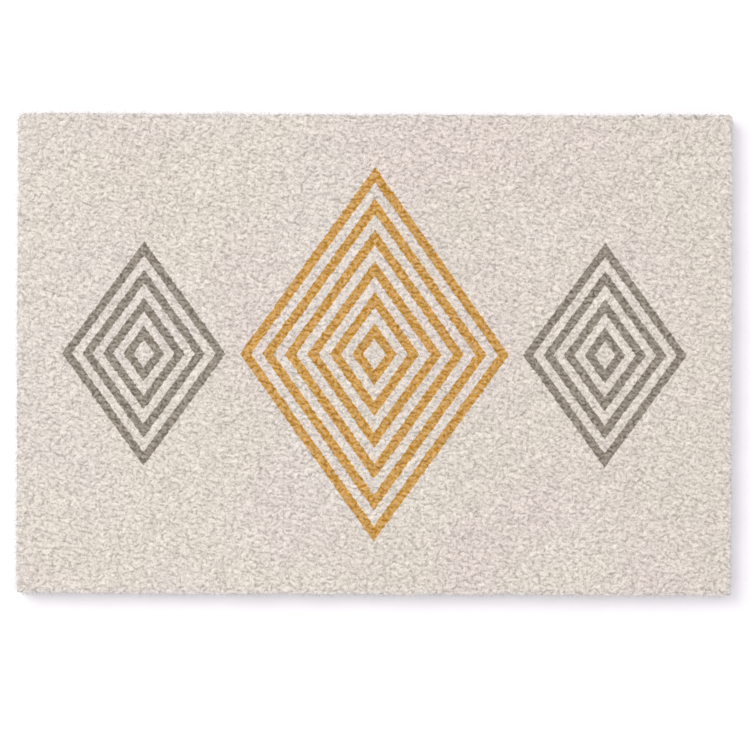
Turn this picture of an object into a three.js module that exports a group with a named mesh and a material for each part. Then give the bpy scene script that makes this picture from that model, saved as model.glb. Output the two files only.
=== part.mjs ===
// A doormat: one flat rectangular slab of short, dense, curled pile that lies on the floor.
//
// Units are millimetres and +Z is up. The origin is on the floor under the middle of the mat.
// +X runs along the mat's long side, and +Y runs to its back edge.
//
// The mat is cut from a sheet, so its four edges are nearly straight: each bows a little, carries
// a slow ripple, and ends in a slightly different corner. The cut side stands upright, the pile
// rolls over at the rim, and the top is a little uneven. The underside is flat.

import * as THREE from "three";

// the cut size of the mat, and its height from the floor to the tips of the pile
const matLength = 610;
const matWidth = 410;
const matHeight = 15;

// each corner's own radius
const frontLeftRadius = 4;
const frontRightRadius = 3;
const backRightRadius = 4.5;
const backLeftRadius = 6;

// how far the middle of each edge stands out past its two corners; less than 0 is drawn in
const frontBow = 0.3;
const rightBow = 0.25;
const backBow = -0.45;
const leftBow = 0.2;

// the ripple of the cut edge: its height, and the lengths of its slow and its quick wave
const rippleHeight = 0.22;
const slowRipple = 190;
const quickRipple = 67;

// the rim, where the pile rolls over: its width in plan and the height that it takes up
const rimWidth = 3.6;
const rimHeight = 3;

// the top's shallow rise and fall: its height, and the lengths of its waves
const swellHeight = 0.3;
const longSwell = 230;
const shortSwell = 88;

// how finely the surface is divided
const longEdgeSteps = 36;
const shortEdgeSteps = 24;
const cornerSteps = 4;
const sideSteps = 3;
const rimSteps = 4;
const topRings = 10;

const pileColour = 0xdfd5c9;
const pileRoughness = 0.95;

// A wave of the given length, from -1 to 1.
function wave(distance, length) {
  return Math.sin((2 * Math.PI * distance) / length);
}

// One edge of the outline between two corner ends, bowed outwards in its middle.
function bowedEdge(start, end, bow) {
  const along = new THREE.Vector2().subVectors(end, start).normalize();
  const outward = new THREE.Vector2(along.y, -along.x);
  const middle = new THREE.Vector2().addVectors(start, end).multiplyScalar(0.5);
  const control = middle.addScaledVector(outward, 2 * bow);
  return new THREE.QuadraticBezierCurve(start, control, end);
}

// The point that lies a distance from one corner along the edge towards another.
function alongEdge(corner, other, distance) {
  const direction = new THREE.Vector2().subVectors(other, corner).normalize();
  return corner.clone().addScaledVector(direction, distance);
}

// The outline of the cut sheet, anticlockwise from the front left corner.
function cutOutline() {
  const halfLength = matLength / 2;
  const halfWidth = matWidth / 2;
  const corners = [
    { at: new THREE.Vector2(-halfLength, -halfWidth), radius: frontLeftRadius },
    { at: new THREE.Vector2(halfLength, -halfWidth), radius: frontRightRadius },
    { at: new THREE.Vector2(halfLength, halfWidth), radius: backRightRadius },
    { at: new THREE.Vector2(-halfLength, halfWidth), radius: backLeftRadius },
  ];
  const bows = [frontBow, rightBow, backBow, leftBow];
  const points = [];
  corners.forEach((corner, index) => {
    const next = corners[(index + 1) % corners.length];
    const afterNext = corners[(index + 2) % corners.length];
    const steps = index % 2 === 0 ? longEdgeSteps : shortEdgeSteps;
    const edgeStart = alongEdge(corner.at, next.at, corner.radius);
    const edgeEnd = alongEdge(next.at, corner.at, next.radius);
    const turnEnd = alongEdge(next.at, afterNext.at, next.radius);
    const edge = bowedEdge(edgeStart, edgeEnd, bows[index]);
    const turn = new THREE.QuadraticBezierCurve(edgeEnd, next.at, turnEnd);
    points.push(...edge.getPoints(steps).slice(0, -1));
    points.push(...turn.getPoints(cornerSteps).slice(0, -1));
  });
  return points;
}

// The direction that faces out of the outline at each of its points.
function outwardDirections(outline) {
  return outline.map((point, index) => {
    const before = outline[(index + outline.length - 1) % outline.length];
    const after = outline[(index + 1) % outline.length];
    const along = new THREE.Vector2().subVectors(after, before).normalize();
    return new THREE.Vector2(along.y, -along.x);
  });
}

// The ripple of the cut edge at a point of the outline.
function edgeRipple(point) {
  const slow = wave(point.x - point.y, slowRipple);
  const quick = wave(point.x + 2 * point.y, quickRipple);
  return rippleHeight * (0.6 * slow + 0.4 * quick);
}

// The height of the pile above the floor, over the middle of the mat.
function pileHeight(x, y) {
  const long = wave(x + 0.6 * y, longSwell);
  const short = wave(y - 0.4 * x, shortSwell);
  return matHeight + swellHeight * (0.6 * long + 0.4 * short);
}

// The loops of points that the surface is stretched over, from the floor up the side, round the
// rim and in over the top. The last one is small, and a point at the middle closes it.
function surfaceLoops(outline, outward) {
  const loops = [];
  const edgeLoop = (inset, share) =>
    outline.map((point, index) => {
      const moved = point.clone().addScaledVector(outward[index], edgeRipple(point) - inset);
      return new THREE.Vector3(moved.x, moved.y, share * pileHeight(moved.x, moved.y));
    });
  const shoulder = (matHeight - rimHeight) / matHeight;
  for (let step = 0; step < sideSteps; step += 1) {
    loops.push(edgeLoop(0, (shoulder * step) / sideSteps));
  }
  for (let step = 0; step <= rimSteps; step += 1) {
    const angle = (0.5 * Math.PI * step) / rimSteps;
    const inset = rimWidth * (1 - Math.cos(angle));
    loops.push(edgeLoop(inset, shoulder + (1 - shoulder) * Math.sin(angle)));
  }
  const topEdge = loops[loops.length - 1];
  for (let ring = 1; ring < topRings; ring += 1) {
    const scale = 1 - ring / topRings;
    loops.push(
      topEdge.map((point) => {
        const x = scale * point.x;
        const y = scale * point.y;
        return new THREE.Vector3(x, y, pileHeight(x, y));
      }),
    );
  }
  return loops;
}

// The closed surface of the mat: the loops joined by strips, with a point at the middle of the
// underside and one at the middle of the top.
function matGeometry() {
  const outline = cutOutline();
  const loops = surfaceLoops(outline, outwardDirections(outline));
  const count = outline.length;
  const points = loops.flat();
  const underMiddle = points.push(new THREE.Vector3(0, 0, 0)) - 1;
  const topMiddle = points.push(new THREE.Vector3(0, 0, pileHeight(0, 0))) - 1;
  const lastLoop = (loops.length - 1) * count;
  const faces = [];
  for (let index = 0; index < count; index += 1) {
    const next = (index + 1) % count;
    faces.push(underMiddle, next, index);
    faces.push(topMiddle, lastLoop + index, lastLoop + next);
    for (let loop = 0; loop < loops.length - 1; loop += 1) {
      const low = loop * count;
      const high = low + count;
      faces.push(low + index, low + next, high + next);
      faces.push(low + index, high + next, high + index);
    }
  }
  const geometry = new THREE.BufferGeometry().setFromPoints(points);
  geometry.setIndex(faces);
  geometry.computeBoundingBox();
  const middle = geometry.boundingBox.getCenter(new THREE.Vector3());
  geometry.translate(-middle.x, -middle.y, 0);
  geometry.computeVertexNormals();
  return geometry;
}

const pile = new THREE.MeshStandardMaterial({
  color: pileColour,
  roughness: pileRoughness,
  metalness: 0,
});

const mat = new THREE.Mesh(matGeometry(), pile);
mat.name = "pile_mat";

const doormat = new THREE.Group();
doormat.add(mat);

export default doormat;
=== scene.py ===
import math
import bpy
import numpy as np
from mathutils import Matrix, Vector


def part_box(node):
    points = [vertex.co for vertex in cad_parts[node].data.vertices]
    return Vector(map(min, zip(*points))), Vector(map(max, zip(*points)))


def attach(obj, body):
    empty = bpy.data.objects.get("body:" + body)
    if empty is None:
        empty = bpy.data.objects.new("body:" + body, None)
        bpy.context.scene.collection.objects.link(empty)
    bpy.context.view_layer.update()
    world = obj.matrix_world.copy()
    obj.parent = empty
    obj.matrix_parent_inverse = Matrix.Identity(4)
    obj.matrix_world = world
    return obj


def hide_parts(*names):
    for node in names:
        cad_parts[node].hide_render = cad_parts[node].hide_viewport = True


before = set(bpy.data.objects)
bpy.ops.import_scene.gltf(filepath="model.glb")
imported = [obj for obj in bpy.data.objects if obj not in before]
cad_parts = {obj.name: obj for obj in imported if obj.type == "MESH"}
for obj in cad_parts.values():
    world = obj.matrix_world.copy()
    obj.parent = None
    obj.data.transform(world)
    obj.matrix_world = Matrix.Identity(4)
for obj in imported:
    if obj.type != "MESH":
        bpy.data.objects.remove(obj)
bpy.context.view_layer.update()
mm = 0.001
print("frame loaded")

# The mat's place and outline come from its solid.
matLow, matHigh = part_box("pile_mat")
matLength = matHigh.x - matLow.x
matWidth = matHigh.y - matLow.y
swellHeight = 0.3 * mm  # the solid's top rises and falls by this much
matHeight = matHigh.z - swellHeight


def outlineRing():
    # the solid's lowest loop of points, anticlockwise
    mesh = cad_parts["pile_mat"].data
    points = np.empty(len(mesh.vertices) * 3)
    mesh.vertices.foreach_get("co", points)
    points = points.reshape(-1, 3)
    onFloor = points[:, 2] < 0.01 * mm
    low = np.unique(np.round(points[onFloor][:, :2], 7), axis=0)
    low = low[np.hypot(low[:, 0], low[:, 1]) > 0.25 * matWidth]  # not the middle point
    return low[np.argsort(np.arctan2(low[:, 1], low[:, 0]))]


ring = outlineRing()
cornerReach = 7.5 * mm  # the corners' arcs lie within this of the outermost lines


def sideLine(along, across, outermost):
    # one edge of the outline, as a function of the place along it, run on past its corners
    longest = np.abs(ring[:, along]).max()
    near = np.abs(ring[:, across] - outermost) < cornerReach
    between = np.abs(ring[:, along]) < longest - cornerReach
    points = ring[near & between]
    points = points[np.argsort(points[:, along])]
    return lambda place: np.interp(place, points[:, along], points[:, across])


ragged = {
    "by": 0.5 * mm,  # how far the cut edge wanders in and out
    "every": 2.4 * mm,
    "reach": 0.6,  # of the mat's length, to each side of its middle
}
edgeNoise = np.random.default_rng(3)


def raggedLine(along, across, outermost):
    # the edge as it is cut through the pile
    straight = sideLine(along, across, outermost)
    reach = ragged["reach"] * matLength
    knots = np.arange(-reach, reach, ragged["every"])
    wander = edgeNoise.uniform(-1, 1, knots.size) * ragged["by"]
    return lambda place: straight(place) + np.interp(place, knots, wander)


leftEdge = raggedLine(1, 0, ring[:, 0].min())
rightEdge = raggedLine(1, 0, ring[:, 0].max())
frontEdge = raggedLine(0, 1, ring[:, 1].min())
backEdge = raggedLine(0, 1, ring[:, 1].max())


def cornerRadius(end, side):
    # the radius of an arc that cuts as much off a corner as the solid's does
    atCorner = np.sign(end(0.0)) * 0.5 * matLength, np.sign(side(0.0)) * 0.5 * matWidth
    gap = np.hypot(ring[:, 0] - end(atCorner[1]), ring[:, 1] - side(atCorner[0])).min()
    return gap / (math.sqrt(2) - 1)


matCorners = [  # the two edges that meet, the ways in from them, and the radius, worn more or less round
    (end, side, wayIn, wayUp, worn * cornerRadius(end, side))
    for end, side, wayIn, wayUp, worn in (
        (leftEdge, frontEdge, 1, 1, 0.7),
        (leftEdge, backEdge, 1, -1, 1.35),
        (rightEdge, frontEdge, -1, 1, 0.5),
        (rightEdge, backEdge, -1, -1, 0.6),
    )
]


def insideBy(x, y):
    # how far a point lies inside the outline
    ends = np.minimum(x - leftEdge(y), rightEdge(y) - x)
    sides = np.minimum(y - frontEdge(x), backEdge(x) - y)
    inside = np.minimum(ends, sides)
    for end, side, wayIn, wayUp, radius in matCorners:
        a = radius - wayIn * (x - end(y))
        b = radius - wayUp * (y - side(x))
        inside = np.where((a > 0) & (b > 0), radius - np.hypot(a, b), inside)
    return inside


rim = {
    "grey": 4.5 * mm,  # how far in the pile is a little greyer
    "width": 2.4 * mm,  # how far in from the edge it starts to roll over
    "drop": 0.45 * mm,  # how far it has sunk at the edge
}


def swell(x, y):
    # the slow rise and fall of the top, as the solid has it
    long = np.sin((x + 0.6 * y) * 27)
    short = np.sin((y - 0.4 * x) * 71)
    return swellHeight * (0.6 * long + 0.4 * short)


def pileTop(x, y):
    # height of the pile's tips, rolled over at the rim
    inside = insideBy(x, y)
    bend = np.clip(1 - inside / rim["width"], 0, 1)
    return matHeight + swell(x, y) - rim["drop"] * bend**2 + np.minimum(inside, 0)


# Meshes from arrays


def meshFrom(name, points, faces):
    # faces is one array of quads or triangles
    mesh = bpy.data.meshes.new(name)
    mesh.vertices.add(len(points))
    mesh.vertices.foreach_set("co", np.ascontiguousarray(points, np.float32).ravel())
    corners = sum(f.size for f in faces)
    mesh.loops.add(corners)
    mesh.loops.foreach_set("vertex_index", np.concatenate([f.ravel() for f in faces]).astype(np.int32))
    sizes = np.concatenate([np.full(len(f), f.shape[1]) for f in faces])
    mesh.polygons.add(len(sizes))
    mesh.polygons.foreach_set("loop_start", (np.cumsum(sizes) - sizes).astype(np.int32))
    mesh.update(calc_edges=True)
    mesh.validate()
    mesh.shade_smooth()
    piece = bpy.data.objects.new(name, mesh)
    bpy.context.scene.collection.objects.link(piece)
    return piece


def paintPoints(piece, name, values):
    layer = piece.data.attributes.new(name, "FLOAT", "POINT")
    layer.data.foreach_set("value", np.ascontiguousarray(values, np.float32))


def mapPoints(piece, across, up):
    # a flat map for baking, from one pair of numbers for each point
    layer = piece.data.uv_layers.new(name="OFBake")
    corners = np.empty(len(piece.data.loops), np.int32)
    piece.data.loops.foreach_get("vertex_index", corners)
    places = np.stack([across[corners], up[corners]], 1)
    layer.data.foreach_set("uv", places.astype(np.float32).ravel())


def planMap(piece, points):
    # the piece seen from above fills its map
    margin = 0.01
    low, high = points.min(0), points.max(0)
    place = margin + (1 - 2 * margin) * (points - low) / (high - low)
    mapPoints(piece, place[:, 0], place[:, 1])


def unit(vectors):
    return vectors / np.maximum(np.linalg.norm(vectors, axis=-1, keepdims=True), 1e-9)


def strandPiece(name, paths, widths, flatness, tones):
    # joined closed strands: each runs along its path, pointed at both ends and three-sided between
    count, steps, _ = paths.shape
    along = unit(np.gradient(paths, axis=1))
    upward = np.zeros_like(paths)
    upward[..., 2] = 1
    side = unit(np.cross(along, upward))
    lift = np.cross(side, along)
    inner = slice(1, steps - 1)
    rings = []
    for turn in range(3):
        angle = math.pi * (0.5 + 2 * turn / 3)  # one ridge looks up
        reach = math.cos(angle) * side[:, inner] + flatness * math.sin(angle) * lift[:, inner]
        rings.append(paths[:, inner] + reach * widths[:, inner, None] / math.sqrt(3))
    rings = np.stack(rings, 2).reshape(count, -1, 3)
    points = np.concatenate([paths[:, :1], rings, paths[:, -1:]], 1)
    each = points.shape[1]
    triangles, quads = [], []
    last = 1 + 3 * (steps - 3)
    for turn in range(3):
        after = (turn + 1) % 3
        triangles.append([0, 1 + after, 1 + turn])
        triangles.append([each - 1, last + turn, last + after])
        for step in range(steps - 3):
            low = 1 + 3 * step
            quads.append([low + turn, low + after, low + 3 + after, low + 3 + turn])
    start = (np.arange(count) * each)[:, None, None]
    faces = [
        (np.array(triangles)[None] + start).reshape(-1, 3),
        (np.array(quads)[None] + start).reshape(-1, 4),
    ]
    piece = meshFrom(name, points.reshape(-1, 3), faces)
    paintPoints(piece, "tone", np.repeat(tones, each))
    paintPoints(piece, "depth", np.zeros(count * each))
    return piece, points.reshape(-1, 3)


# The base: the closed slab of packed pile under the curls, with the mat's flat underside

base = {
    "below": 2.4 * mm,  # how far its top lies under the tips
    "grid": 8.0 * mm,
    "inset": 1.5 * mm,  # how far its side stands back from the outline
    "sideRings": 4,
}


def shares(count, lip):
    # even steps from 0 to 1, with a narrow one at each end
    return np.concatenate([[0], np.linspace(lip, 1 - lip, count - 1), [1]])


def planGrid(columns, rows, inset=0.0, lip=0.1 * mm):
    # points of a grid that fills the outline, drawn in round its corners
    u, v = np.meshgrid(shares(columns, lip / matLength), shares(rows, lip / matWidth))
    roughX = matLow.x + u * matLength
    roughY = matLow.y + v * matWidth
    left, right = leftEdge(roughY) + inset, rightEdge(roughY) - inset
    front, back = frontEdge(roughX) + inset, backEdge(roughX) - inset
    x, y = left + u * (right - left), front + v * (back - front)
    for end, side, wayIn, wayUp, radius in matCorners:
        endLine = end(roughY) + wayIn * inset
        sideLineHere = side(roughX) + wayUp * inset
        a = radius - wayIn * (x - endLine)
        b = radius - wayUp * (y - sideLineHere)
        turns = (a > 0) & (b > 0)
        scale = np.maximum(a, b) / np.maximum(np.hypot(a, b), 1e-9)
        x = np.where(turns, endLine + wayIn * (radius - a * scale), x)
        y = np.where(turns, sideLineHere + wayUp * (radius - b * scale), y)
    return x, y


def gridQuads(rows, columns, first=0):
    index = first + np.arange((rows + 1) * (columns + 1)).reshape(rows + 1, columns + 1)
    corners = [index[:-1, :-1], index[:-1, 1:], index[1:, 1:], index[1:, :-1]]
    return np.stack(corners, 2).reshape(-1, 4), index


def rimLoop(index):
    # a grid's outermost points, anticlockwise from its first corner
    return np.concatenate([index[0, :-1], index[:-1, -1], index[-1, :0:-1], index[:0:-1, 0]])


def baseSlab():
    columns = round(matLength / base["grid"])
    rows = round(matWidth / base["grid"])
    x, y = planGrid(columns, rows, base["inset"])
    top = np.stack([x, y, pileTop(x, y) - base["below"]], 2).reshape(-1, 3)
    topFaces, index = gridQuads(rows, columns)
    quads = [topFaces]
    loop = rimLoop(index)
    points = [top]
    above = loop
    total = len(top)
    for step in range(1, base["sideRings"] + 1):
        ringPoints = top[loop].copy()
        ringPoints[:, 2] *= 1 - step / base["sideRings"]
        below = total + np.arange(len(loop))
        total += len(loop)
        points.append(ringPoints)
        quads.append(np.stack([below, np.roll(below, -1), np.roll(above, -1), above], 1))
        above = below
    points.append(np.zeros((1, 3)))
    fan = np.stack([np.full(len(loop), total), np.roll(above, -1), above], 1)
    points = np.concatenate(points)
    piece = meshFrom("pileBase", points, [fan, np.concatenate(quads)])
    paintPoints(piece, "tone", np.zeros(len(points)))
    # painted shade: the whole slab takes the full gap shade, as if deep in shadow
    paintPoints(piece, "depth", np.ones(len(points)))
    return piece


def curlPaths(x, y, heading, length, bend, twist, steps):
    # places in plan along each curl, from its middle
    t = np.linspace(-0.5, 0.5, steps)
    turning = heading[:, None] + bend[:, None] * t + twist[:, None] * (t**2 - 1 / 12)
    stepX = np.cos(turning) * length[:, None] / (steps - 1)
    stepY = np.sin(turning) * length[:, None] / (steps - 1)
    px = np.cumsum(stepX, 1)
    py = np.cumsum(stepY, 1)
    return x[:, None] + px - px.mean(1, keepdims=True), y[:, None] + py - py.mean(1, keepdims=True), t


def curlsOverMat(rng, kind, steps):
    # one curl in or near each square of the mat, at any heading
    scatter = 0.75  # of a square, from its middle, at most
    twist = 1.5  # times the bend, at most
    columns = round(matLength / kind["apart"])
    rows = round(matWidth / kind["apart"])
    column, row = [c.ravel() for c in np.meshgrid(np.arange(columns), np.arange(rows))]
    n = column.size
    x = matLow.x + (column + 0.5 + rng.uniform(-scatter, scatter, n)) * matLength / columns
    y = matLow.y + (row + 0.5 + rng.uniform(-scatter, scatter, n)) * matWidth / rows
    heading = rng.uniform(0, 2 * math.pi, n)
    heading -= 0.5 * kind["level"] * np.sin(2 * (heading - kind["tilt"]))
    length = rng.uniform(*kind["length"], n)
    bends = rng.uniform(-1, 1, n) * kind["bend"]
    twists = rng.uniform(-1, 1, n) * kind["bend"] * twist
    return curlPaths(x, y, heading, length, bends, twists, steps)


# The matted pile: one fine surface over the top, in strips side by side, and down the cut side

matted = {
    "cell": (0.84 * mm, 0.72 * mm),  # how finely the surface is divided, along and across
    "strips": 5,
    "apart": 1.95 * mm,  # one gap between curls lies in each square of this side
    "length": (4.5 * mm, 11.0 * mm),
    "width": (0.75 * mm, 1.35 * mm),
    "strength": (0.5, 1.0),  # how deep one gap is beside another
    "relief": 0.32 * mm,  # how far the surface rises and falls over the gaps
    "middle": 0.45 * mm,  # how far its mean lies under the tips
    "evenOver": 30,  # rounds of blurring that part the gaps from slower swells
    "crisp": 0.1,  # how much narrower the gaps are than the pile between them
    "shade": (0.4, 0.28),  # the painted gap shade's depth where the surface is at its mean, and its spread
    "steps": 10,  # points along a gap
    "bend": 1.8,  # radians that a gap turns from end to end, at most
    "level": 0.9,  # how far gaps favour one heading
    "tilt": -0.3,  # radians from the mat's length to that heading
    # width and height of the rises where the pile has felted together
    "clumps": ((3.0 * mm, 0.1 * mm), (6.0 * mm, 0.2 * mm), (12.0 * mm, 0.25 * mm)),
}


def pressed(px, py, halfWidth, strength, tone, shape, cell):
    # rounded ridges along curls, added up on a grid, with their mean tone; columns run on past the end
    ridgeEnd = 2.5  # half widths from a ridge's line
    leastField = 0.5  # where less lies there, its tone counts for less
    field = np.zeros(shape)
    tones = np.zeros(shape)
    column = np.rint(px / cell[0]).astype(int)
    row = np.rint(py / cell[1]).astype(int)
    reach = int(np.ceil(ridgeEnd * halfWidth.max() / min(cell)))
    for down in range(-reach, reach + 1):
        for over in range(-reach, reach + 1):
            c, r = column + over, row + down
            away = np.hypot(c * cell[0] - px, r * cell[1] - py) / halfWidth
            use = (away < ridgeEnd) & (r >= 0) & (r < shape[0])
            amount = strength[use] * np.exp(-away[use] ** 2)
            np.add.at(field, (r[use], c[use] % shape[1]), amount)
            np.add.at(tones, (r[use], c[use] % shape[1]), amount * tone[use])
    return field, tones / np.maximum(field, leastField)


def pressedCurls(rng, kind, px, py, t, shape, cell):
    n = len(px)
    halfWidth = 0.5 * rng.uniform(*kind["width"], n)[:, None] * np.ones(len(t))
    strength = rng.uniform(*kind["strength"], n)[:, None] * (1 - np.abs(2 * t) ** 4)
    tone = np.repeat(rng.normal(0, 1, n), len(t))
    return pressed(px.ravel(), py.ravel(), halfWidth.ravel(), strength.ravel(), tone, shape, cell)


def evened(field, sharpness):
    # about 0, with a spread of 1; what is high is narrower than what is low
    most = 2.6  # in spreads
    field = np.tanh(field / field.std() / most) * most
    return field + sharpness * (field**2 - 1)


def blurred(field, rounds):
    for _ in range(rounds):
        for axis in (0, 1):
            field = 0.5 * field + 0.25 * (np.roll(field, 1, axis) + np.roll(field, -1, axis))
    return field


def slowNoise(rng, shape, width):
    # smooth bumps about one width across
    row = np.arange(shape[0]) * matted["cell"][1] / width
    column = np.arange(shape[1]) * matted["cell"][0] / width
    coarse = rng.uniform(-1, 1, (int(row[-1]) + 3, int(column[-1]) + 3))
    r, c = row.astype(int), column.astype(int)
    fr, fc = row - r, column - c
    fr = (fr * fr * (3 - 2 * fr))[:, None]
    fc = (fc * fc * (3 - 2 * fc))[None, :]
    low = coarse[np.ix_(r, c)] * (1 - fc) + coarse[np.ix_(r, c + 1)] * fc
    high = coarse[np.ix_(r + 1, c)] * (1 - fc) + coarse[np.ix_(r + 1, c + 1)] * fc
    bumps = low * (1 - fr) + high * fr
    return (bumps - bumps.mean()) / bumps.std()


def mattedField():
    # how far the surface lies under the tips, its depth from 0 to 1, and the tone of the pile there
    rng = np.random.default_rng(6)
    columns = round(matLength / matted["cell"][0])
    rows = round(matWidth / matted["cell"][1])
    cell = (matLength / columns, matWidth / rows)
    px, py, t = curlsOverMat(rng, matted, matted["steps"])
    gaps, tones = pressedCurls(
        rng, matted, px - matLow.x, py - matLow.y, t, (rows + 1, columns + 1), cell
    )
    gaps = evened(gaps - blurred(gaps, matted["evenOver"]), matted["crisp"])
    below = matted["middle"] + matted["relief"] * gaps
    for width, height in matted["clumps"]:
        below -= height * slowNoise(rng, below.shape, width)
    # the depth from 0 to 1 sets how much painted shade darkens the gaps
    usual, spread = matted["shade"]
    return below, np.clip(usual + spread * gaps, 0, 1), tones


matUnder, matDepths, matTones = mattedField()


def underAt(x, y):
    # the depth of the matted surface at any place, between the grid's points
    hair = 1e-6  # keeps the last place inside the last square
    rows, columns = matUnder.shape[0] - 1, matUnder.shape[1] - 1
    c = np.clip((x - matLow.x) / matLength * columns, 0, columns - hair)
    r = np.clip((y - matLow.y) / matWidth * rows, 0, rows - hair)
    ci, ri = c.astype(int), r.astype(int)
    fc, fr = c - ci, r - ri
    low = matUnder[ri, ci] * (1 - fc) + matUnder[ri, ci + 1] * fc
    high = matUnder[ri + 1, ci] * (1 - fc) + matUnder[ri + 1, ci + 1] * fc
    return low * (1 - fr) + high * fr


def pointNormals(points, quads):
    # smooth normals of the whole surface, so that its pieces meet without a seam
    corners = points[quads]
    facing = unit(np.cross(corners[:, 2] - corners[:, 0], corners[:, 3] - corners[:, 1]))
    normals = np.zeros_like(points)
    for corner in range(4):
        np.add.at(normals, quads[:, corner], facing)
    return unit(normals)


sidePile = {
    "rows": 12,
    "apart": 1.5 * mm,  # one upright strand lies in each square of this side
    "length": (5.0 * mm, 10.0 * mm),
    "width": (1.2 * mm, 2.2 * mm),
    "strength": (0.5, 1.0),
    "lean": 0.3,  # radians from upright, about
    "bend": 0.9,
    "back": 0.5 * mm,  # how far the side's mean stands back from the rim
    "relief": 0.22 * mm,
    "soon": 4,  # times the share of the way down, for how soon both are full
    "calm": 0.5,  # how much of the relief is lost at the floor
    "tuck": 2.4 * mm,  # how far it turns in under the mat
    "lift": 0.05 * mm,  # how far it stands off the floor there
    "steps": 10,  # points along a strand
    "evenTurns": 12,  # rounds that even out the way its face looks
    "bands": 8,  # rows of its map
}


def sideField(distance, reach):
    # rise and fall of the cut side at distances round the outline, in rows from the rim down
    rng = np.random.default_rng(7)
    across, down = round(reach / sidePile["apart"]), round(matHeight / sidePile["apart"])
    column, row = [c.ravel() for c in np.meshgrid(np.arange(across), np.arange(down))]
    n = column.size
    s = (column + rng.uniform(0, 1, n)) * reach / across
    z = (row + rng.uniform(0, 1, n)) * matHeight / down
    heading = 0.5 * math.pi + rng.normal(0, sidePile["lean"], n)
    length = rng.uniform(*sidePile["length"], n)
    bend = rng.uniform(-1, 1, n) * sidePile["bend"]
    twist = rng.uniform(-1, 1, n) * sidePile["bend"]
    px, py, t = curlPaths(s, z, heading, length, bend, twist, sidePile["steps"])
    columns = round(reach / matted["cell"][1])
    cell = (reach / columns, matHeight / sidePile["rows"])
    field, tones = pressedCurls(rng, sidePile, px, py, t, (sidePile["rows"] + 1, columns), cell)
    field = evened(field - field.mean(), 0.0)
    places = np.arange(columns) * cell[0]
    shown = [[np.interp(distance, places, row, period=reach) for row in rows[1:]] for rows in (field, tones)]
    return np.array(shown[0]), np.array(shown[1])


def sidePoints(loop):
    # rows of points from the rim's loop down to the floor, and one more that turns in under the mat
    facing = np.roll(loop, -1, 0) - np.roll(loop, 1, 0)
    outward = unit(np.stack([facing[:, 1], -facing[:, 0]], 1))
    for _ in range(sidePile["evenTurns"]):
        outward = 0.5 * outward + 0.25 * (np.roll(outward, 1, 0) + np.roll(outward, -1, 0))
    outward = unit(outward)
    lengths = np.hypot(*(np.roll(loop, -1, 0) - loop)[:, :2].T)
    distance = np.cumsum(lengths) - lengths
    field, tones = sideField(distance, lengths.sum())
    rows = []
    for step in range(sidePile["rows"]):
        share = (step + 1) / sidePile["rows"]
        relief = sidePile["relief"] * min(1, sidePile["soon"] * share) * (1 - sidePile["calm"] * share)
        out = relief * field[step] - sidePile["back"] * (1 - math.exp(-sidePile["soon"] * share))
        row = loop.copy()
        row[:, :2] += outward * out[:, None]
        row[:, 2] *= 1 - share
        rows.append(row)
    tucked = loop.copy()
    tucked[:, :2] -= outward * sidePile["tuck"]
    tucked[:, 2] = sidePile["lift"]
    usual, spread = matted["shade"]
    # painted shade: where the side's relief sinks in, it is darker
    depths = np.clip(usual - spread * field, 0, 1)
    return rows + [tucked], np.vstack([depths, depths[-1:]]), np.vstack([tones, tones[-1:]])


def mattedPile():
    rows, columns = matUnder.shape[0] - 1, matUnder.shape[1] - 1
    x, y = planGrid(columns, rows)
    top = np.stack([x, y, pileTop(x, y) - matUnder], 2).reshape(-1, 3)
    quads, index = gridQuads(rows, columns)
    loop = rimLoop(index)
    sideRows, sideDepths, sideTones = sidePoints(top[loop])
    points = np.vstack([top, *sideRows])
    above = loop
    sideQuads = []
    for step in range(len(sideRows)):
        below = len(top) + step * len(loop) + np.arange(len(loop))
        sideQuads.append(np.stack([below, np.roll(below, -1), np.roll(above, -1), above], 1))
        above = below
    sideQuads = np.concatenate(sideQuads)
    normals = pointNormals(points, np.concatenate([quads, sideQuads]))
    depth = np.concatenate([matDepths.ravel(), sideDepths.ravel()])
    tone = np.concatenate([matTones.ravel(), sideTones.ravel()])
    edge = np.clip(1 - insideBy(points[:, 0], points[:, 1]) / rim["grey"], 0, 1)

    def madeFrom(name, own, faces):
        piece = meshFrom(name, points[own], [faces])
        piece.data.normals_split_custom_set_from_vertices(normals[own])
        paintPoints(piece, "tone", tone[own])
        paintPoints(piece, "depth", depth[own])
        paintPoints(piece, "edge", edge[own])
        return piece

    made = []
    edges = np.linspace(0, rows, matted["strips"] + 1).astype(int)
    for number, (first, last) in enumerate(zip(edges[:-1], edges[1:])):
        own = np.arange(first * (columns + 1), (last + 1) * (columns + 1))
        faces, _ = gridQuads(last - first, columns)
        piece = madeFrom(f"mattedPile_{number + 1}", own, faces)
        planMap(piece, points[own])
        made.append(piece)
    own, faces = np.unique(sideQuads, return_inverse=True)
    piece = madeFrom("sidePile", own, faces.reshape(sideQuads.shape))
    sideMap(piece, len(loop), len(sideRows))
    made.append(piece)
    return made


def sideMap(piece, across, down):
    # the side in bands of equal length, one above the other
    margin = 0.05  # of a band's height
    bands = sidePile["bands"]
    step, place = [c.ravel() for c in np.meshgrid(np.arange(down), np.arange(across), indexing="ij")]
    band = place * bands // across
    start = np.ceil(band * across / bands)
    width = across / bands + 1
    left = (place - start + 0.5) / (width + 1)
    right = (place - start + 1.5) / (width + 1)
    low = (band + 1 - margin - (1 - 2 * margin) * (step + 1) / down) / bands
    high = (band + 1 - margin - (1 - 2 * margin) * step / down) / bands
    corners = np.stack([left, low, right, low, right, high, left, high], 1)
    layer = piece.data.uv_layers.new(name="OFBake")
    layer.data.foreach_set("uv", corners.astype(np.float32).ravel())


# The loose curls: single strands that stand clear of the matted pile

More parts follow.
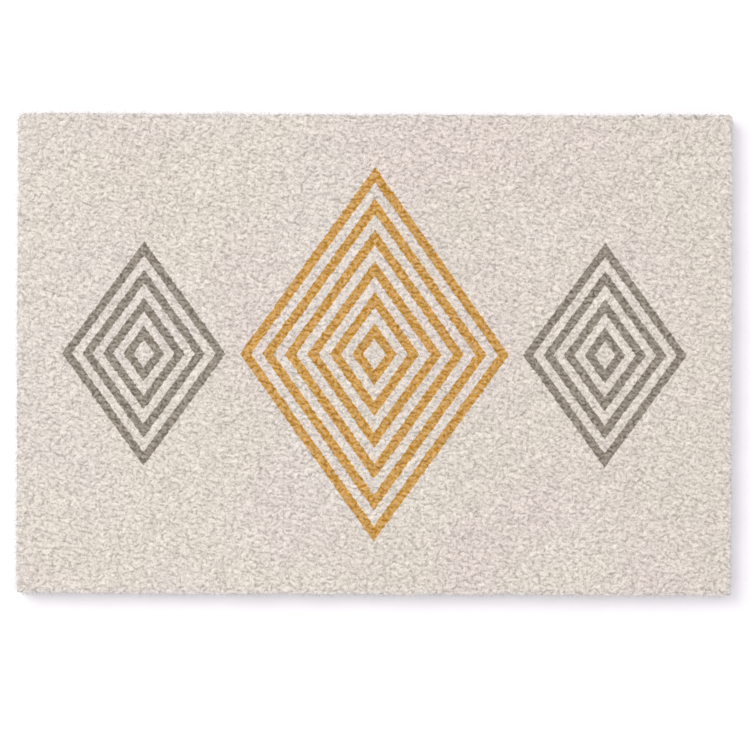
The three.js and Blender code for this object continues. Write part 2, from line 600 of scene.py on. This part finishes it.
loose = {
    "apart": 16.0 * mm,
    "taper": (0.0, 0.9, 1.0, 1.0, 1.0, 0.9, 0.0),
    "length": (6.0 * mm, 14.0 * mm),
    "width": (0.25 * mm, 0.45 * mm),
    "flatness": 0.9,
    "bend": 3.2,
    "level": 0.3,
    "tilt": -0.2,
    "rise": (0.0 * mm, 0.4 * mm),  # how far the middle stands above the matted pile
    "sink": 0.6 * mm,  # how far the ends go down into it
    "inset": 0.4 * mm,  # how far curls keep from the outermost lines
    "above": 0.5 * mm,  # how far one stands above the solid, at most
}


def looseCurls():
    rng = np.random.default_rng(5)
    taper = np.array(loose["taper"])
    px, py, t = curlsOverMat(rng, loose, len(taper))
    n = len(px)
    px = np.clip(px, matLow.x + loose["inset"], matHigh.x - loose["inset"])
    py = np.clip(py, matLow.y + loose["inset"], matHigh.y - loose["inset"])
    width = rng.uniform(*loose["width"], n)[:, None] * taper
    lift = rng.uniform(*loose["rise"], n)[:, None] - np.abs(2 * t) ** 2 * loose["sink"]
    height = pileTop(px, py) - underAt(px, py)
    height = np.minimum(height + lift, matHigh.z + loose["above"])
    paths = np.stack([px, py, height], 2)
    tones = rng.normal(0, 1, n)
    piece, points = strandPiece("looseCurls", paths, width, loose["flatness"], tones)
    planMap(piece, points)
    return piece


def aroundOutline(distance):
    # places and outward directions at distances round the ring
    closed = np.vstack([ring, ring[:1]])
    reach = np.concatenate([[0], np.cumsum(np.hypot(*np.diff(closed, axis=0).T))])
    distance = np.mod(distance, reach[-1])
    x = np.interp(distance, reach, closed[:, 0])
    y = np.interp(distance, reach, closed[:, 1])
    tangent = unit(np.roll(ring, -1, axis=0) - np.roll(ring, 1, axis=0))
    normal = np.stack([tangent[:, 1], -tangent[:, 0]], 1)
    normal = np.vstack([normal, normal[:1]])
    nx = np.interp(distance, reach, normal[:, 0])
    ny = np.interp(distance, reach, normal[:, 1])
    return x, y, nx, ny, reach[-1]


# The fuzz: fine fibres that stand out from the cut edge

fuzz = {
    "count": 3300,
    "length": (1.2 * mm, 4.8 * mm),
    "width": (0.2 * mm, 0.32 * mm),
    "spread": 0.9,  # radians from straight out, about
    "bend": 2.2,
    "rise": 0.35,  # slope, about
    "taper": (0.0, 1.0, 1.0, 0.8, 0.0),
    "flatness": 0.9,
    "root": 0.5 * mm,  # how far inside the outline it starts
    "below": 0.75 * mm,  # how far under the tips the highest one starts
    "deep": 0.5,  # how far down from there to the floor the lowest one starts
    "lowest": 0.4 * mm,
    "above": 0.4 * mm,  # how far a fibre climbs past the highest root, at most
}


def edgeFuzz():
    rng = np.random.default_rng(11)
    taper = np.array(fuzz["taper"])
    n = fuzz["count"]
    perimeter = aroundOutline(np.zeros(1))[4]
    place = (np.arange(n) + rng.uniform(-0.5, 0.5, n)) * perimeter / n
    x, y, nx, ny, _ = aroundOutline(place)
    heading = np.arctan2(ny, nx) + rng.normal(0, fuzz["spread"], n)
    length = rng.uniform(*fuzz["length"], n)
    bend = rng.uniform(-1, 1, n) * fuzz["bend"]
    twist = rng.uniform(-1, 1, n) * fuzz["bend"]
    px, py, t = curlPaths(0 * x, 0 * y, heading, length, bend, twist, len(taper))
    px = px - px[:, :1] + (x - fuzz["root"] * nx)[:, None]
    py = py - py[:, :1] + (y - fuzz["root"] * ny)[:, None]
    high = matHeight - fuzz["below"]
    root = high * (1 - fuzz["deep"] * rng.uniform(0, 1, n) ** 2)
    slope = rng.normal(0, fuzz["rise"], n)
    z = root[:, None] + slope[:, None] * (t + 0.5) * length[:, None]
    z = np.clip(z, fuzz["lowest"], high + fuzz["above"])
    paths = np.stack([px, py, z], 2)
    width = rng.uniform(*fuzz["width"], n)[:, None] * taper
    tones = rng.normal(0, 1, n)
    piece, points = strandPiece("edgeFuzz", paths, width, fuzz["flatness"], tones)
    paintPoints(piece, "edge", np.ones(len(points)))
    planMap(piece, points)
    return piece


# Stray loops of dark yarn, caught in the back edge near its right end

stray = {
    "count": 8,
    "from": 215 * mm,
    "to": 300 * mm,
    "scatter": (0.1, 0.9),  # where in its own stretch of the edge a loop lies
    "across": (2.4 * mm, 5.0 * mm),
    "high": (1.4 * mm, 3.0 * mm),
    "width": (0.4 * mm, 0.6 * mm),
    "out": (0.2 * mm, 1.5 * mm),  # how far a loop stands out of the edge
    "ends": (-0.1, 1.1),  # half turns from one end of a loop to the other
    "skew": 0.25,  # radians that a loop is turned in its place, about
    "below": 0.45 * mm,  # how far it lies under the tips at the rim
    "climb": 0.3 * mm,  # how far it has risen one millimetre in
    "flatness": 0.9,
    "taper": (0.0, 0.8, 1.0, 1.0, 1.0, 0.8, 0.0),
}


def strayLoops():
    rng = np.random.default_rng(17)
    taper = np.array(stray["taper"])
    n = stray["count"]
    place = np.arange(n) + rng.uniform(*stray["scatter"], n)
    middle = stray["from"] + place * (stray["to"] - stray["from"]) / n
    turn = math.pi * np.linspace(*stray["ends"], len(taper)) + rng.normal(0, stray["skew"], n)[:, None]
    wide = 0.5 * rng.uniform(*stray["across"], n)[:, None]
    high = rng.uniform(*stray["high"], n)[:, None]
    out = rng.uniform(*stray["out"], n)[:, None]
    px = middle[:, None] + wide * np.cos(turn)
    py = backEdge(px) + out + high * (np.sin(turn) - 1)
    z = matHeight - stray["below"] + stray["climb"] * np.clip(insideBy(px, py) / mm, 0, 1)
    paths = np.stack([px, py, z], 2)
    width = rng.uniform(*stray["width"], n)[:, None] * taper
    tones = rng.normal(0, 1, n)
    piece, points = strandPiece("strayLoops", paths, width, stray["flatness"], tones)
    paintPoints(piece, "stray", np.ones(len(points)))
    planMap(piece, points)
    return piece


# The finish


def linear(red, green, blue):
    # a colour as it is seen, 0 to 255, in the shader's own numbers
    shades = [c / 255 for c in (red, green, blue)]
    return [c / 12.92 if c <= 0.04045 else ((c + 0.055) / 1.055) ** 2.4 for c in shades] + [1.0]


noiseRange = (0.3, 0.7)  # nearly all of a noise lies between these

pileFinish = {
    "cream": (219.5, 213.3, 203.2),
    "creamPink": (221, 211.9, 202.4),
    "creamYellow": (220, 214.1, 200.6),
    "creamEdge": (214, 213, 212),
    # painted shade: the darker cream that the pile takes in the gaps, by their depth
    "creamPaintedShade": (160, 152, 141),
    "mustard": (197, 145, 18),
    # painted shade of the mustard ink in the gaps
    "mustardPaintedShade": (139, 88, 2),
    "grey": (133, 124, 109.5),
    # painted shade of the grey ink in the gaps
    "greyPaintedShade": (79, 70, 58),
    "stray": (150, 151, 152),
    "pinkScale": 7.0,  # patches to the metre, about, as for the other scales
    "pinkPlace": 31.0,  # what part of the noise it takes, as for the other places
    "pinkFrom": (0.44, 0.56),  # where in the noise it starts, and where it is full
    "pinkRight": 0.4,  # how much more of it there is toward the right end
    "pinkDarker": 0.02,
    "yellowScale": 9.0,
    "yellowPlace": 47.0,
    "yellowFrom": (0.42, 0.56),
    "yellowShare": 0.75,
    "edgeShare": 0.5,  # how grey the pile is at the edge
    "gapShadeShare": 0.75,  # how far the deepest gaps go to the painted shade colours
    "fray": 1.1 * mm,  # how far the printed edge wanders
    "frayScale": 330.0,
    "frayPlace": 5.0,
    "dyed": (8 * mm, 3 * mm),  # the dye is gone this far under the tips, and full this far under
    "tipInkWornAndLit": 0.8,  # how much of the ink is left on them: worn thinner, which also paints the tips lighter as a painted highlight
    "tipDepths": (0.05, 0.6),  # from the tips to where no dye is worn off
    "wornFibres": 0.88,
    "wornFrom": (0.32, 0.6),  # the stretch of the fine noise over which the dye comes back
    "toneBy": 0.02,  # how much one strand differs from the next
    "mottleScale": 75.0,
    "mottleBy": 0.05,
    "speckleScale": 200.0,
    "speckleBy": 0.07,
    "fineScale": 900.0,
    "fineBy": 0.13,
    "fibreScale": 2200.0,
    "fibreDrawn": 0.17,  # how much slower the noise goes along a fibre than across it
    "fibreHeading": -0.3,
    "fibrePatches": ((0.8, 11.0), (-1.3, 23.0)),  # another heading, and the place of its patches
    "patchFrom": (0.48, 0.54),
    "fibreBy": 0.14,
    "fibreBump": 0.5,
    "fibreHeight": 0.4 * mm,
    "roughness": (0.86, 1.0),
    "sheen": 0.25,
    "sheenRoughness": 0.5,
    "specular": 0.25,
}

# a row of nested diamonds, whole, across the mat
printed = [
    {"ink": "mustard", "at": (0.0, 0.0), "reach": (115 * mm, 160 * mm), "lines": 6, "share": 0.5},
    {"ink": "grey", "at": (-197 * mm, 0.0), "reach": (70 * mm, 96 * mm), "lines": 4, "share": 0.5},
    {"ink": "grey", "at": (197 * mm, 0.0), "reach": (70 * mm, 96 * mm), "lines": 4, "share": 0.5},
]


class Wiring:
    # short hands for the node tree of one material
    def __init__(self, material):
        self.tree = material.node_tree
        self.nodes = self.tree.nodes

    def plug(self, socket, value):
        if hasattr(value, "links"):
            self.tree.links.new(value, socket)
        else:
            socket.default_value = value

    def math(self, operation, *values, clamp=False):
        node = self.nodes.new("ShaderNodeMath")
        node.operation = operation
        node.use_clamp = clamp
        for socket, value in zip(node.inputs, values):
            self.plug(socket, value)
        return node.outputs[0]

    def mix(self, share, first, second, blend="MIX"):
        node = self.nodes.new("ShaderNodeMix")
        node.data_type = "RGBA"
        node.blend_type = blend
        self.plug(node.inputs[0], share)
        self.plug(node.inputs[6], first)
        self.plug(node.inputs[7], second)
        return node.outputs[2]

    def blend(self, share, first, second):
        # from the first number to the second
        return self.math("ADD", first, self.math("MULTIPLY", share, self.math("SUBTRACT", second, first)))

    def shifted(self, where, by):
        # the same place in another part of a pattern
        node = self.nodes.new("ShaderNodeVectorMath")
        node.operation = "ADD"
        self.plug(node.inputs[0], where)
        node.inputs[1].default_value = (by, by, 0.0)
        return node.outputs[0]

    def noise(self, where, scale, detail=2.0, roughness=0.5):
        node = self.nodes.new("ShaderNodeTexNoise")
        self.plug(node.inputs["Vector"], where)
        self.plug(node.inputs["Scale"], scale)
        self.plug(node.inputs["Detail"], detail)
        self.plug(node.inputs["Roughness"], roughness)
        return node.outputs[0]

    def spread(self, value, low, high, newLow=0.0, newHigh=1.0):
        node = self.nodes.new("ShaderNodeMapRange")
        for socket, v in zip(node.inputs, (value, low, high, newLow, newHigh)):
            self.plug(socket, v)
        return node.outputs[0]

    def streaks(self, x, y, z, heading, scale, drawn):
        # noise drawn out along one heading, and up the sides
        cosine, sine = math.cos(heading), math.sin(heading)
        along = self.math("ADD", self.math("MULTIPLY", x, cosine), self.math("MULTIPLY", y, sine))
        across = self.math("SUBTRACT", self.math("MULTIPLY", y, cosine), self.math("MULTIPLY", x, sine))
        place = self.nodes.new("ShaderNodeCombineXYZ")
        self.plug(place.inputs[0], self.math("MULTIPLY", along, drawn))
        self.plug(place.inputs[1], across)
        self.plug(place.inputs[2], self.math("MULTIPLY", z, drawn))
        return self.noise(place.outputs[0], scale, 1.0)

    def attribute(self, name):
        node = self.nodes.new("ShaderNodeAttribute")
        node.attribute_name = name
        return node.outputs["Fac"]


def diamondInk(w, x, y, design):
    # 1 on the printed lines of one set of nested diamonds
    centreX, centreY = design["at"]
    reachX, reachY = design["reach"]
    acrossPart = w.math("DIVIDE", w.math("ABSOLUTE", w.math("SUBTRACT", x, centreX)), reachX)
    upPart = w.math("DIVIDE", w.math("ABSOLUTE", w.math("SUBTRACT", y, centreY)), reachY)
    inward = w.math("SUBTRACT", 1.0, w.math("ADD", acrossPart, upPart))
    phase = w.math("FRACT", w.math("MULTIPLY", inward, float(design["lines"])))
    line = w.math("LESS_THAN", phase, design["share"])
    return w.math("MULTIPLY", line, w.math("GREATER_THAN", inward, 0.0))


def pileMaterial():
    material = bpy.data.materials.new("printedPile")
    material.use_nodes = True
    material.node_tree.nodes.clear()
    w = Wiring(material)
    where = w.nodes.new("ShaderNodeTexCoord").outputs["Object"]
    shader = w.nodes.new("ShaderNodeBsdfPrincipled")
    output = w.nodes.new("ShaderNodeOutputMaterial")
    w.plug(output.inputs[0], shader.outputs[0])
    split = w.nodes.new("ShaderNodeSeparateXYZ")
    w.plug(split.inputs[0], where)

    f = pileFinish
    tone = w.attribute("tone")
    depth = w.attribute("depth")

    speckle = w.noise(where, f["speckleScale"], 2.0)
    fine = w.noise(where, f["fineScale"], 1.0)
    pink = w.noise(w.shifted(where, f["pinkPlace"]), f["pinkScale"], 3.0)
    pink = w.math("ADD", pink, w.math("MULTIPLY", split.outputs[0], f["pinkRight"]))
    pink = w.spread(pink, *f["pinkFrom"])
    yellow = w.noise(w.shifted(where, f["yellowPlace"]), f["yellowScale"], 3.0)
    yellow = w.spread(yellow, *f["yellowFrom"])
    yellow = w.math("MULTIPLY", yellow, f["yellowShare"])
    edge = w.math("MULTIPLY", w.attribute("edge"), f["edgeShare"])
    # painted shade: the deeper the gap, the darker the pile and the inks
    sunk = w.math("MULTIPLY", depth, f["gapShadeShare"])
    cream = w.mix(pink, linear(*f["cream"]), linear(*f["creamPink"]))
    cream = w.mix(yellow, cream, linear(*f["creamYellow"]))
    cream = w.mix(edge, cream, linear(*f["creamEdge"]))
    cream = w.mix(sunk, cream, linear(*f["creamPaintedShade"]))

    # the printed edge follows the fibres
    frayX = w.math("SUBTRACT", w.noise(where, f["frayScale"], 1.0), 0.5)
    frayY = w.math("SUBTRACT", w.noise(w.shifted(where, f["frayPlace"]), f["frayScale"], 1.0), 0.5)
    x = w.math("ADD", split.outputs[0], w.math("MULTIPLY", frayX, f["fray"] * 2))
    y = w.math("ADD", split.outputs[1], w.math("MULTIPLY", frayY, f["fray"] * 2))

    colour = cream
    inked = w.spread(split.outputs[2], *[matHeight - down for down in f["dyed"]])
    for design in printed:
        # each ink darkens to its painted shade in the gaps
        ink = w.mix(sunk, linear(*f[design["ink"]]), linear(*f[design["ink"] + "PaintedShade"]))
        mask = diamondInk(w, x, y, design)
        # ink thinner on the high tips: worn there, and a painted highlight
        mask = w.math("MULTIPLY", mask, w.spread(depth, *f["tipDepths"], f["tipInkWornAndLit"], 1.0))
        mask = w.math("MULTIPLY", mask, w.spread(fine, *f["wornFrom"], f["wornFibres"], 1.0))
        mask = w.math("MULTIPLY", mask, inked)
        colour = w.mix(mask, colour, ink)
    colour = w.mix(w.attribute("stray"), colour, linear(*f["stray"]))

    # fibres lie in patches of one heading each
    fibres = w.streaks(*split.outputs, f["fibreHeading"], f["fibreScale"], f["fibreDrawn"])
    for heading, place in f["fibrePatches"]:
        patch = w.noise(w.shifted(where, place), f["frayScale"], 1.0)
        chosen = w.spread(patch, *f["patchFrom"])
        other = w.streaks(*split.outputs, heading, f["fibreScale"], f["fibreDrawn"])
        fibres = w.blend(chosen, fibres, other)

    # each curl's own tone, and a fine mottle
    mottle = w.noise(where, f["mottleScale"], 2.0)
    shade = w.math("ADD", w.math("MULTIPLY", tone, f["toneBy"]), 1.0)
    shade = w.math("ADD", shade, w.math("MULTIPLY", w.math("SUBTRACT", 0.5, pink), f["pinkDarker"]))
    for pattern, by in (
        (speckle, f["speckleBy"]),
        (mottle, f["mottleBy"]),
        (fine, f["fineBy"]),
        (fibres, f["fibreBy"]),
    ):
        shade = w.math("ADD", shade, w.spread(pattern, *noiseRange, -by, by))
    colour = w.mix(1.0, colour, shade, "MULTIPLY")
    w.plug(shader.inputs["Base Color"], colour)
    w.plug(shader.inputs["Roughness"], w.spread(speckle, *noiseRange, *f["roughness"]))
    shader.inputs["Sheen Weight"].default_value = f["sheen"]
    shader.inputs["Sheen Roughness"].default_value = f["sheenRoughness"]
    shader.inputs["Specular IOR Level"].default_value = f["specular"]

    bump = w.nodes.new("ShaderNodeBump")
    bump.inputs["Strength"].default_value = f["fibreBump"]
    bump.inputs["Distance"].default_value = f["fibreHeight"]
    w.plug(bump.inputs["Height"], fibres)
    w.plug(shader.inputs["Normal"], bump.outputs[0])
    return material


# The making of the mat

finish = pileMaterial()
slab = baseSlab()
print("base made")
strands = mattedPile()
print("matted pile made")
strands += [looseCurls(), edgeFuzz(), strayLoops()]
print("loose curls, fuzz and stray loops made")
for piece in [slab, *strands]:
    piece.data.materials.append(finish)
    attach(piece, "root")
    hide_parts("pile_mat")
print("triangles", sum(sum(len(p.vertices) - 2 for p in o.data.polygons) for o in [slab, *strands]))

# The floor, the light and the camera

studio = {
    "photoSide": 750,  # the picture's width and height in pixels
    "matPixels": 715.0,  # the mat's length there
    "matMiddle": (374.3, 354.4),  # and its middle, from the top left
    "turn": 0.22,  # degrees that the camera turns against the mat
    "lens": 100,
    "floorSide": 12.0,
    "floorDrop": 0.2 * mm,  # the floor lies this far under the mat
    "floorShade": 0.88,
    "floorMottle": (0.99, 1.01),
    "floorScale": 30.0,
    "floorRoughness": 0.9,
    "floorSpecular": 0.1,
    "sky": 0.965,
    "skyTint": (0.967, 0.94, 1.0),
    "softbox": {"place": (-5.15, 3.8, 6.0), "width": 6.2, "power": 395.0, "tint": (1.0, 0.985, 0.955)},
}


def floorMaterial():
    material = bpy.data.materials.new("paleFloor")
    material.use_nodes = True
    w = Wiring(material)
    shader = w.nodes["Principled BSDF"]
    where = w.nodes.new("ShaderNodeTexCoord").outputs["Object"]
    shade = studio["floorShade"]
    mottle = w.spread(w.noise(where, studio["floorScale"]), *noiseRange, *studio["floorMottle"])
    w.plug(shader.inputs["Base Color"], w.mix(1.0, (shade, shade, shade, 1.0), mottle, "MULTIPLY"))
    shader.inputs["Roughness"].default_value = studio["floorRoughness"]
    shader.inputs["Specular IOR Level"].default_value = studio["floorSpecular"]
    return material


def makeFloor():
    half = studio["floorSide"] / 2
    points = np.array([[-half, -half, 0], [half, -half, 0], [half, half, 0], [-half, half, 0]], float)
    floor = meshFrom("paleFloor", points, [np.array([[0, 1, 2, 3]])])
    floor.location.z = -studio["floorDrop"]
    floor.data.materials.append(floorMaterial())


def makeLights():
    world = bpy.data.worlds.new("studio")
    bpy.context.scene.world = world
    world.use_nodes = True
    world.node_tree.nodes["Background"].inputs[0].default_value = (*studio["skyTint"], 1.0)
    world.node_tree.nodes["Background"].inputs[1].default_value = studio["sky"]
    softbox = studio["softbox"]
    data = bpy.data.lights.new("softbox", "AREA")
    data.shape = "DISK"
    data.size = softbox["width"]
    data.energy = softbox["power"]
    data.color = softbox["tint"]
    light = bpy.data.objects.new("softbox", data)
    bpy.context.scene.collection.objects.link(light)
    light.location = softbox["place"]
    light.rotation_euler = (-Vector(softbox["place"])).to_track_quat("-Z", "Y").to_euler()


def makeCamera():
    data = bpy.data.cameras.new("camera")
    data.lens = studio["lens"]
    camera = bpy.data.objects.new("camera", data)
    bpy.context.scene.collection.objects.link(camera)
    pixel = matLength / studio["matPixels"]
    middle = studio["photoSide"] / 2
    half = 0.5 * studio["photoSide"] * pixel
    height = half * data.lens / (0.5 * data.sensor_width)
    across = (middle - studio["matMiddle"][0]) * pixel
    up = (studio["matMiddle"][1] - middle) * pixel
    camera.location = (across, up, matHeight + height)
    camera.rotation_euler = (0.0, 0.0, math.radians(studio["turn"]))
    bpy.context.scene.camera = camera


makeFloor()
makeLights()
makeCamera()
bpy.context.scene.view_settings.view_transform = "Standard"
print("floor, lights and camera made")
